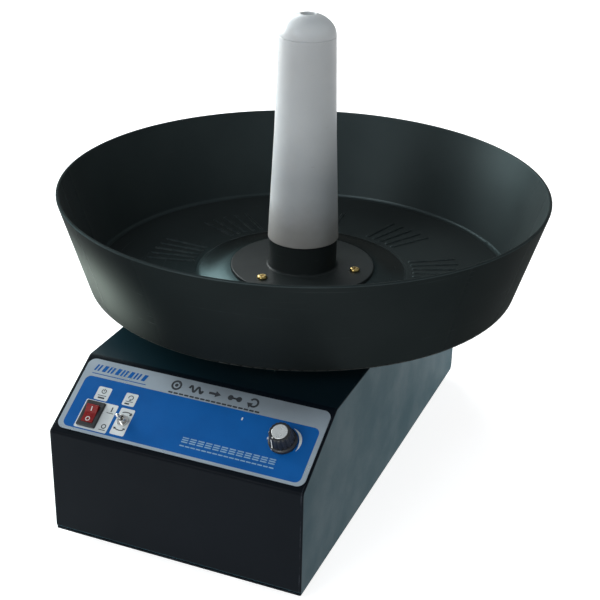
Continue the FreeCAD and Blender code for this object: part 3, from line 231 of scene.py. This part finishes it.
FINISHES = {
    "black_powder_coat": finish(
        "powder_coat", [(0.001, 0.0022, 0.0046), (0.0021, 0.0036, 0.0067)], (0.36, 0.5),
        grain=(1300, 9e-6), blotch=7, waves=(26, 5e-5), wear=((0.05, 0.056, 0.07), 0.0007),
        specular_ior_level=0.07, sheen_weight=0.5, sheen_roughness=0.3, sheen_tint=(0.19, 0.78, 1.0, 1)),
    # The pan's inside walls and floor are made paler here as painted light.
    "pan_plastic": finish(
        "pan_moulding", [(0.013, 0.017, 0.0175), (0.017, 0.0215, 0.022)], (0.34, 0.46),
        grain=(1500, 6e-6), blotch=6, waves=(20, 6e-5), wear=((0.11, 0.125, 0.12), 0.0008), ring=AXIS,
        polish=(RUBBED_RADIUS, 0.6, 2.3), painted_light_up=(2.9, 2.1), metallic=0.5, specular_ior_level=0.0,
        specular_tint=(0.25, 0.25, 0.25, 1), sheen_weight=0.14, sheen_roughness=0.35,
        sheen_tint=(0.95, 1.0, 0.95, 1)),
    "hub_black": finish(
        "hub_enamel", [(0.017, 0.021, 0.021), (0.023, 0.0275, 0.0275)], (0.28, 0.4),
        grain=(1100, 5e-6), blotch=16, wear=((0.07, 0.075, 0.075), 0.0007), ring=AXIS,
        specular_ior_level=0.07),
    "brass": finish(
        "brass_screws", [(0.62, 0.46, 0.17), (0.48, 0.34, 0.12)], (0.22, 0.4), blotch=160,
        wear=((0.8, 0.66, 0.34), 0.0003), metallic=1.0),
    "zinc_steel": finish(
        "zinc_plate", [(0.6, 0.61, 0.62), (0.5, 0.52, 0.54)], (0.24, 0.4), blotch=90,
        wear=((0.72, 0.72, 0.72), 0.0003), metallic=1.0),
    "steel": finish(
        "ground_steel", [(0.48, 0.49, 0.5), (0.4, 0.41, 0.42)], (0.2, 0.36), blotch=60,
        brushed=(300, 300, 6000), metallic=1.0),
    "cast_grey": finish(
        "casting", [(0.26, 0.27, 0.28), (0.2, 0.21, 0.22)], (0.5, 0.66), grain=(700, 4e-5), blotch=40,
        wear=((0.4, 0.41, 0.42), 0.0007), metallic=0.8),
    "aluminium": finish(
        "drawn_aluminium", [(0.72, 0.73, 0.75), (0.62, 0.63, 0.65)], (0.28, 0.42), blotch=50,
        brushed=(150, 3500, 3500), metallic=1.0),
    "chrome": finish(
        "nickel_plate", [(0.72, 0.71, 0.69), (0.6, 0.59, 0.57)], (0.1, 0.24), blotch=180, metallic=1.0),
    "rubber": finish(
        "foot_rubber", [(0.018, 0.018, 0.018), (0.03, 0.03, 0.029)], (0.62, 0.8), grain=(900, 3e-5),
        blotch=60, waves=(260, 6e-5)),
    "belt_rubber": finish(
        "belt", [(0.022, 0.022, 0.024), (0.034, 0.034, 0.036)], (0.6, 0.78), grain=(2200, 3e-5),
        blotch=80),
    "label_silver": finish(
        "silver_film", [(0.49, 0.56, 0.62), (0.43, 0.5, 0.56)], (0.27, 0.36), grain=(2600, 3e-6),
        blotch=24, waves=(45, 2e-5), metallic=0.85),
    "black_plastic": finish(
        "moulded_black", [(0.014, 0.015, 0.017), (0.022, 0.023, 0.026)], (0.3, 0.44),
        grain=(1800, 6e-6), blotch=70, wear=((0.06, 0.06, 0.065), 0.0004)),
    "red_plastic": finish(
        "red_lens", [(0.2, 0.01, 0.012), (0.27, 0.018, 0.016)], (0.22, 0.34), grain=(1200, 3e-6),
        blotch=120, specular_ior_level=0.2, subsurface_weight=0.2, subsurface_scale=0.003),
    "board_green": finish(
        "solder_resist", [(0.02, 0.13, 0.055), (0.03, 0.18, 0.075)], (0.3, 0.42), grain=(500, 2e-5),
        blotch=70),
    "terminal_green": finish(
        "terminal_moulding", [(0.04, 0.29, 0.11), (0.06, 0.37, 0.15)], (0.36, 0.5), blotch=90,
        wear=((0.16, 0.5, 0.26), 0.0004)),
    "motor_paint": finish(
        "motor_enamel", [(0.08, 0.088, 0.096), (0.11, 0.12, 0.13)], (0.3, 0.44), grain=(800, 8e-6),
        blotch=30, wear=((0.3, 0.31, 0.32), 0.0006)),
}


def nylon(name):
    """Off-white turned nylon with faint turning lines, darker and browner towards its foot, and with painted
    shade on its upper part a little below the top.
    """
    material = bpy.data.materials.new(name)
    material.use_nodes = True
    tree = material.node_tree
    shader = tree.nodes["Principled BSDF"]
    where = place(tree)
    height = add(tree, "SeparateXYZ", {0: where}).outputs[2]
    foot, top = post_low.z, post_high.z
    mottle = remap(tree, noise(tree, where, 22, 5), *BLOTCH_SPAN)
    body = blend(tree, mottle, (0.56, 0.58, 0.59, 1), (0.61, 0.625, 0.63, 1))
    # Darker and browner towards the foot, unevenly, and along the darkest turning lines.
    uneven_height = maths(tree, "ADD", height, maths(tree, "MULTIPLY", noise(tree, where, 35, 4), 0.03))
    darker_foot = remap(tree, uneven_height, foot + 0.06, foot + 0.012, 0.0, 0.75)
    turning = noise(tree, stretched(tree, polar(tree, where, AXIS), TURNING), 1.0, 3, 0.6)
    scratch = remap(tree, turning, 0.66, 0.76, 0.0, 0.28)
    foot_and_lines_darker = blend(tree, maths(tree, "MAXIMUM", darker_foot, scratch), body, (0.25, 0.225, 0.195, 1))
    # Painted shade: a grey band over the post's upper part, strongest a little below its top.
    shaded_upper_band = maths(tree, "MULTIPLY", remap(tree, height, top - 0.098, top - 0.028),
                     remap(tree, height, top - 0.006, top - 0.02))
    with_painted_shade = blend(tree, maths(tree, "MULTIPLY", shaded_upper_band, 0.45), foot_and_lines_darker, (0.31, 0.31, 0.315, 1))
    tree.links.new(with_painted_shade, shader.inputs["Base Color"])
    roughness = remap(tree, noise(tree, where, 60, 5), *BLOTCH_SPAN, 0.34, 0.5)
    tree.links.new(roughness, shader.inputs["Roughness"])
    bump = height_map(tree, turning, 1.2e-5, height_map(tree, noise(tree, where, 1400, 2), 4e-6))
    tree.links.new(bump, shader.inputs["Normal"])
    shader.inputs["Subsurface Weight"].default_value = 0.2
    shader.inputs["Subsurface Radius"].default_value = (1.0, 0.85, 0.7)
    shader.inputs["Subsurface Scale"].default_value = 0.004
    shader.inputs["Specular IOR Level"].default_value = 0.4
    return material


FINISHES["post_plastic"] = nylon("turned_nylon")

INK_BLUE = finish("blue_print", [(0.0035, 0.092, 0.33), (0.0045, 0.108, 0.38)], (0.3, 0.4),
                  grain=(2600, 3e-6), blotch=34, waves=(45, 2e-5), specular_ior_level=0.12)
INK_WHITE = finish("white_print", [(0.62, 0.66, 0.67), (0.72, 0.75, 0.75)], (0.34, 0.46),
                   grain=(2200, 3e-6), blotch=70)
INK_PALE = finish("pale_print", [(0.2, 0.36, 0.52), (0.25, 0.42, 0.58)], (0.34, 0.46),
                  grain=(2200, 3e-6), blotch=70)
INK_DARK = finish("dark_print", [(0.016, 0.02, 0.026), (0.026, 0.031, 0.038)], (0.38, 0.5),
                  grain=(2200, 3e-6), blotch=90)
KNOB_WHITE = finish("pointer_paint", [(0.6, 0.61, 0.6), (0.7, 0.7, 0.68)], (0.4, 0.55),
                    grain=(1500, 1e-5), blotch=200)
CAP_METAL = finish("spun_cap", [(0.85, 0.86, 0.85), (0.74, 0.75, 0.74)], (0.26, 0.36),
                   grain=(3000, 2e-6), blotch=150, metallic=0.9)


def dress(node, material):
    slots = NODES[node].data.materials
    slots.clear()
    slots.append(material)


for part in frame["record"]["subparts"]:
    dress(part["node"], FINISHES[part["material_slot"]])
dress("knob_cap", CAP_METAL)

# Makes the facets of the pan's wall show less where light only grazes it.
NODES["pan"].shadow_terminator_shading_offset = 0.15


# ---------------------------------------------------------------- the control panel's own frame
SLOPE = math.radians(29.87)
LABEL_THICKNESS = 0.4
LABEL_FOOT = 4.6            # the label's lower edge, up the slope from the cabinet's front bend
ACROSS = Vector((1, 0, 0))
ALONG = Vector((0, math.cos(SLOPE), math.sin(SLOPE)))
OUT = Vector((0, -math.sin(SLOPE), math.cos(SLOPE)))
label_low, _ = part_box("control_label")
foot_point = Vector((0, label_low.y, label_low.z + LABEL_THICKNESS * MM * math.cos(SLOPE)))
PANEL = (Matrix.Translation(foot_point - ALONG * LABEL_FOOT * MM)
         @ Matrix((ACROSS, ALONG, OUT)).transposed().to_4x4() @ Matrix.Scale(MM, 4))


# ---------------------------------------------------------------- flat outlines, in mm
ARC_STEPS = 28
CORNER_STEPS = 5


def arc_points(u, v, radius, start, end, steps):
    """Points round a centre, from one angle to another, in degrees."""
    angles = [math.radians(start + (end - start) * k / steps) for k in range(steps + 1)]
    return [(u + radius * math.cos(a), v + radius * math.sin(a)) for a in angles]


def rounded(u0, v0, u1, v1, radius):
    """A rectangle between two opposite corners, its corners rounded."""
    corners = [(u1 - radius, v1 - radius, 0), (u0 + radius, v1 - radius, 90),
               (u0 + radius, v0 + radius, 180), (u1 - radius, v0 + radius, 270)]
    return [point for u, v, start in corners
            for point in arc_points(u, v, radius, start, start + 90, CORNER_STEPS)]


def slanted(u0, v0, u1, v1, lean):
    """A bar whose top stands lean to the right of its foot."""
    return [(u0, v0), (u1, v0), (u1 + lean, v1), (u0 + lean, v1)]


def stroke(points, widths):
    """An outline of a line through the points, with a width at each."""
    left, right = [], []
    for k, (u, v) in enumerate(points):
        before, after = points[max(k - 1, 0)], points[min(k + 1, len(points) - 1)]
        run = Vector((after[0] - before[0], after[1] - before[1])).normalized()
        side = Vector((-run.y, run.x)) * widths[k] / 2
        left.append((u + side.x, v + side.y))
        right.append((u - side.x, v - side.y))
    return right + left[::-1]


def arc(u, v, radius, start, end, width):
    """A band of an arc."""
    return stroke(arc_points(u, v, radius, start, end, ARC_STEPS), [width] * (ARC_STEPS + 1))


def circle(u, v, radius, width):
    """A band of a circle, which has a very small gap at its right, so that it is one outline."""
    return arc(u, v, radius, 0, 358, width)


def crescent(u, v, radius, start, end, width, end_width=0.15):
    """A band of an arc that is widest half way and nearly runs out to points at both ends."""
    widths = [end_width + width * math.sin(math.pi * k / ARC_STEPS) for k in range(ARC_STEPS + 1)]
    return stroke(arc_points(u, v, radius, start, end, ARC_STEPS), widths)


def wave(start, end, middle, height, count, width):
    """A level line of count waves."""
    steps = count * 10
    points = [(start + (end - start) * k / steps,
               middle + height * math.sin(2 * math.pi * count * k / steps)) for k in range(steps + 1)]
    return stroke(points, [width] * (steps + 1))


def dashes(u, v, length, height, pitch, count, radius):
    """A level row of bars, from its lower left corner."""
    return [rounded(u + pitch * k, v, u + pitch * k + length, v + height, radius) for k in range(count)]


def arrow_head(u, v, direction, size):
    """A triangle whose base's middle is at (u, v)."""
    a = math.radians(direction)
    base = Vector((u, v))
    ahead = Vector((math.cos(a), math.sin(a))) * size
    side = Vector((-math.sin(a), math.cos(a))) * size * 0.6
    return [tuple(base + ahead), tuple(base + side), tuple(base - side)]


def turning_arrow(u, v, radius, start, end, width):
    """An arc with an arrow head at its end."""
    a = math.radians(end)
    heading = end + (90 if end > start else -90)
    head = arrow_head(u + radius * math.cos(a), v + radius * math.sin(a), heading, width * 2.6)
    return [arc(u, v, radius, start, end, width), head]


def power_mark(u, v, radius, width):
    """A ring that is open at its top, with an upright bar in the gap."""
    return [arc(u, v, radius, 120, 420, width),
            rounded(u - width / 2, v, u + width / 2, v + radius * 1.3, width * 0.3)]


def resized(outlines, centre, factor):
    """The outlines made larger or smaller about a centre."""
    return [[(centre[0] + (u - centre[0]) * factor, centre[1] + (v - centre[1]) * factor)
             for u, v in outline] for outline in outlines]


# ---------------------------------------------------------------- new pieces
def new_object(name, data):
    made = bpy.data.objects.new(name, data)
    bpy.context.scene.collection.objects.link(made)
    return made


def new_piece(name, shape, material):
    """An object of one material from a bmesh."""
    mesh = bpy.data.meshes.new(name)
    shape.to_mesh(mesh)
    shape.free()
    mesh.materials.append(material)
    return new_object(name, mesh)


def ride_piece(name, shape, place_in, material, body):
    """Makes a piece from a bmesh in the frame place_in, which moves with a body."""
    bmesh.ops.recalc_face_normals(shape, faces=shape.faces)
    bmesh.ops.triangulate(shape, faces=[f for f in shape.faces if len(f.verts) > 4])
    shape.transform(place_in)
    piece = new_piece(name, shape, material)
    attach(piece, body)


def plates(name, outlines, low, high, material, body, place_in=PANEL):
    """Makes thin raised shapes from flat outlines, from low to high in the frame place_in, as one piece."""
    shape = bmesh.new()
    for outline in outlines:
        bottom = [shape.verts.new((u, v, low)) for u, v in outline]
        top = [shape.verts.new((u, v, high)) for u, v in outline]
        shape.faces.new(top)
        shape.faces.new(bottom[::-1])
        for k in range(len(outline)):
            n = (k + 1) % len(outline)
            shape.faces.new((bottom[k], bottom[n], top[n], top[k]))
    ride_piece(name, shape, place_in, material, body)


def strip_on(name, profile, half_width, lift, material, body, place_in):
    """Makes a narrow painted strip along (along, height) points in the plane of place_in's x and z."""
    shape = bmesh.new()
    rows = []
    for k, (r, z) in enumerate(profile):
        before, after = profile[max(k - 1, 0)], profile[min(k + 1, len(profile) - 1)]
        run = Vector((after[0] - before[0], 0, after[1] - before[1])).normalized()
        out = Vector((run.z, 0, -run.x))
        base = Vector((r, 0, z))
        rows.append([shape.verts.new(base + out * d + Vector((0, s * half_width, 0)))
                     for s, d in ((-1, -lift), (-1, lift), (1, lift), (1, -lift))])
    for first, second in zip(rows, rows[1:]):
        for k in range(4):
            n = (k + 1) % 4
            shape.faces.new((first[k], first[n], second[n], second[k]))
    shape.faces.new(rows[0][::-1])
    shape.faces.new(rows[-1])
    ride_piece(name, shape, place_in, material, body)


# ---------------------------------------------------------------- the panel's print
INK = 0.08                  # each layer of print stands this much above the one under it, in mm
ROCKER_AT = (-74.6, 20.2)
TOGGLE_AT = (-48.4, 20.8)
KNOB_AT = (72.0, 35.0)
TILE_CORNER = 1.1
TOGGLE_ARC = 7.6            # radius of the two arrows round the toggle
TITLE_V = 59                # the middle of the title's line of pictograms
STRIPES_FROM = -90

plates("panel_blue_field", [rounded(-93, 7, 94.5, 51, 4.5)], 0.0, INK, INK_BLUE, "cabinet")

tiles = [rounded(-79, 32.9, -68, 44.2, TILE_CORNER), rounded(-56, 33.6, -46, 44.2, TILE_CORNER),
         rounded(-83.6, 7.9, -57, 31.9, TILE_CORNER), rounded(-54.4, 9, -43, 31.4, TILE_CORNER)]
plates("panel_white_tiles", tiles, INK, 2 * INK, INK_WHITE, "cabinet")

over_rocker = power_mark(-73.5, 40.6, 1.7, 0.6)
over_rocker += [rounded(-77, 36.6, -70, 37.1, 0.2), rounded(-76.2, 34.3, -70.8, 35.6, 0.4)]
over_toggle = turning_arrow(-51, 40.4, 1.8, 200, -70, 0.6)
over_toggle += [rounded(-54, 36.9, -48, 37.4, 0.2), rounded(-54, 34.6, -50.2, 35.8, 0.4)]
beside_rocker = [rounded(-61.2, 25.6, -60.3, 29.6, 0.3), rounded(-63.8, 24.2, -58.4, 24.7, 0.2),
                 circle(-60.8, 13.2, 1.6, 0.7), rounded(-63.8, 9.9, -58.4, 10.4, 0.2)]
round_toggle = turning_arrow(*TOGGLE_AT, TOGGLE_ARC, 118, 66, 0.7)
round_toggle += turning_arrow(*TOGGLE_AT, TOGGLE_ARC, -66, -118, 0.7)
round_toggle += [rounded(-46, 26.2, -44.2, 27.4, 0.3), rounded(-46, 14.2, -44.2, 15.4, 0.3)]
plates("panel_tile_marks", over_rocker + over_toggle + beside_rocker + round_toggle,
       2 * INK, 3 * INK, INK_DARK, "cabinet")

title = [circle(-17, TITLE_V, 2.8, 1.3), circle(-17, TITLE_V, 0.6, 1.1)]
title += [wave(-8.4, 0.9, TITLE_V, 2.0, 2, 1.4)]
title += [rounded(4.8, TITLE_V - 0.8, 9.4, TITLE_V + 0.8, 0.4), arrow_head(9.2, TITLE_V, 0, 3.6)]
title += [circle(19.2, TITLE_V, 0.9, 1.8), circle(24.8, TITLE_V, 0.9, 1.8),
          rounded(20.4, TITLE_V - 0.6, 23.6, TITLE_V + 0.6, 0.2)]
title += turning_arrow(34.5, TITLE_V, 2.6, 150, -120, 1.3)
title += dashes(-20.5, 53.0, 3.0, 1.1, 3.6, 17, 0.4)
plates("panel_title_marks", resized(title, (7, 58), 1.2), 0.0, INK, INK_DARK, "cabinet")

stripe_starts = [(STRIPES_FROM + 11 * group + start, width)
                 for group in range(4) for start, width in ((0, 1.5), (2.8, 1.5), (6.5, 3))]
stripes = [slanted(start, 56.2, start + width, 61.6, 1.6) for start, width in stripe_starts]
stripes += [rounded(STRIPES_FROM, 53.4, STRIPES_FROM + 45, 54.0, 0.3)]
plates("panel_corner_stripes", stripes, 0.0, INK, INK_BLUE, "cabinet")

white = [crescent(*KNOB_AT, 12.3, 72, -24, 1.9), rounded(59.8, 33.9, 61.4, 35.9, 0.6),
         rounded(36.0, 43.6, 37.1, 46.0, 0.5)]
plates("panel_white_print", white, INK, 2 * INK, INK_WHITE, "cabinet")

pale = [bar for row in range(3) for bar in dashes(0.5, 16.0 + 1.7 * row, 4.9, 0.9, 6.1, 12, 0.3)]
pale += dashes(0.5, 12.9, 3.6, 0.9, 4.3, 17, 0.3)
plates("panel_pale_print", pale, INK, 2 * INK, INK_PALE, "cabinet")


# ---------------------------------------------------------------- marks on the moving controls
KNOB_TRAVEL = 300           # degrees; the pointer rests at one end of it, and its middle points up the slope
on_knob = (PANEL @ Matrix.Translation((*KNOB_AT, -LABEL_THICKNESS))
           @ Matrix.Rotation(math.radians(90 + KNOB_TRAVEL / 2), 4, "Z"))
knob_profile = [(10.5, 1.6), (10.5, 2.9), (10.2, 3.35), (9.3, 3.95), (8.15, 12.7), (7.7, 13.6),
                (7.0, 13.98), (6.0, 14.0)]
strip_on("knob_pointer", knob_profile, 0.55, 0.07, KNOB_WHITE, "knob", on_knob)

ROCKER_PIVOT = 0.4          # the rocker's axis, above the cabinet's sheet
ROCKER_TILT = math.radians(10)      # at rest
HALF_LENGTH = 7.2           # each half of the rocker's face rises HALF_RISE over this length
HALF_RISE = 1.3
MARK_AT = (3.7, 2.67)       # where a half's mark is, along the rocker and above its axis
SUNK, PROUD = -0.1, 0.05    # from and to what height the marks stand on the face

in_rocker = (PANEL @ Matrix.Translation((*ROCKER_AT, ROCKER_PIVOT - LABEL_THICKNESS))
             @ Matrix.Rotation(ROCKER_TILT, 4, "X"))


def on_rocker_half(side):
    """The frame of the mark on one half of the rocker's face, its z out of that face."""
    lean = side * math.atan2(HALF_RISE, HALF_LENGTH)
    along, above = MARK_AT
    return in_rocker @ Matrix.Translation((0, side * along, above)) @ Matrix.Rotation(lean, 4, "X")


plates("rocker_on_mark", [rounded(-0.4, -1.7, 0.4, 1.7, 0.25)], SUNK, PROUD, KNOB_WHITE, "rocker",
       on_rocker_half(1))
plates("rocker_off_mark", [circle(0, -0.6, 1.5, 0.6)], SUNK, PROUD, KNOB_WHITE, "rocker",
       on_rocker_half(-1))


# ---------------------------------------------------------------- floor, lights and camera
def studio_floor():
    shape = bmesh.new()
    bmesh.ops.create_grid(shape, x_segments=8, y_segments=8, size=8.0)
    bmesh.ops.translate(shape, verts=shape.verts, vec=(0, 0, CAD_BOX[0].z))
    paper = finish("floor_paper", [(0.55, 0.55, 0.55), (0.565, 0.565, 0.565)], (0.8, 0.9),
                   grain=(300, 1e-5), blotch=3, emission_color=(1, 1, 1, 1), emission_strength=0.85)
    floor = new_piece("studio_floor", shape, paper)


def sky(base, lobes):
    """World light: an even base plus soft lobes, each (direction, half angle, softness, colour)."""
    world = bpy.data.worlds.new("studio")
    bpy.context.scene.world = world
    world.use_nodes = True
    tree = world.node_tree
    background = tree.nodes["Background"]
    direction = add(tree, "TexCoord").outputs["Generated"]
    total = base
    for towards, half_angle, softness, colour in lobes:
        unit = Vector(towards).normalized()
        facing = add(tree, "VectorMath", {0: direction, 1: unit}, operation="DOT_PRODUCT").outputs["Value"]
        inner, outer = math.cos(math.radians(half_angle)), math.cos(math.radians(half_angle + softness))
        share = remap(tree, facing, outer, inner)
        amount = add(tree, "CombineXYZ", {0: share, 1: share, 2: share}).outputs[0]
        total = add(tree, "VectorMath", {0: amount, 1: colour, 2: total}, operation="MULTIPLY_ADD").outputs[0]
    tree.links.new(total, background.inputs["Color"])


def softbox(name, spot, target, size, watts, colour=(1, 1, 1), spread=180):
    """A rectangle of light aimed at a target, its beam spread degrees wide."""
    light = bpy.data.lights.new(name, "AREA")
    light.spread = math.radians(spread)
    light.shape = "RECTANGLE"
    light.size, light.size_y = size
    light.energy = watts
    light.color = colour
    lamp = new_object(name, light)
    lamp.location = spot
    lamp.rotation_euler = (Vector(target) - Vector(spot)).to_track_quat("-Z", "Y").to_euler()


def sun(name, towards, strength, softness):
    """A broad soft light from a direction."""
    light = bpy.data.lights.new(name, "SUN")
    light.energy = strength
    light.angle = math.radians(softness)
    lamp = new_object(name, light)
    lamp.rotation_euler = Vector(towards).to_track_quat("Z", "Y").to_euler()


# each a direction, half angle, softness and colour, as sky() takes them
OVERHEAD = ((-0.34, 0.05, 0.94), 20, 30, (0.14, 0.16, 0.175))
BEHIND_LEFT = ((-0.624, 0.647, 0.438), 8, 10, (6.8, 7.2, 7.2))
HIGH_FRONT = ((-0.198, -0.74, 0.643), 5, 8, (3.6, 4.0, 4.4))
PAN_WALL = (-0.142, -0.117, 0.17)       # close outside the pan's rim, at its left and front

studio_floor()
sky((0.3, 0.315, 0.325), [OVERHEAD, BEHIND_LEFT, HIGH_FRONT])
softbox("key_left", spot=(-1.8, 0.55, 0.78), target=(0, 0, 0.2), size=(1.3, 0.9), watts=50,
        colour=(0.94, 1.0, 1.0))
softbox("low_left", spot=(-1.2, -0.85, 0.05), target=PAN_WALL, size=(0.14, 0.03), watts=0.34,
        colour=(1.0, 0.98, 0.86), spread=3.4)
sun("front_fill", towards=(-0.34, -0.79, 0.51), strength=0.5, softness=24)

AZIMUTH, ELEVATION, ROLL = (math.radians(a) for a in (22.106, 25.594, 1.275))
CAMERA_AT = (0.36864, -0.89268, 0.58564)
FOCAL_LENGTH = 77.32        # mm, as the sensor's width is
SENSOR_WIDTH = 36.0

back = Vector((math.sin(AZIMUTH) * math.cos(ELEVATION), -math.cos(AZIMUTH) * math.cos(ELEVATION),
               math.sin(ELEVATION)))
level = Vector((math.cos(AZIMUTH), math.sin(AZIMUTH), 0))
right = level * math.cos(ROLL) + back.cross(level) * math.sin(ROLL)
lens = bpy.data.cameras.new("camera")
lens.lens = FOCAL_LENGTH
lens.sensor_width = SENSOR_WIDTH
camera = new_object("camera", lens)
camera.matrix_world = (Matrix.Translation(CAMERA_AT)
                       @ Matrix((right, back.cross(right), back)).transposed().to_4x4())
bpy.context.scene.camera = camera
bpy.context.scene.view_settings.view_transform = "Standard"
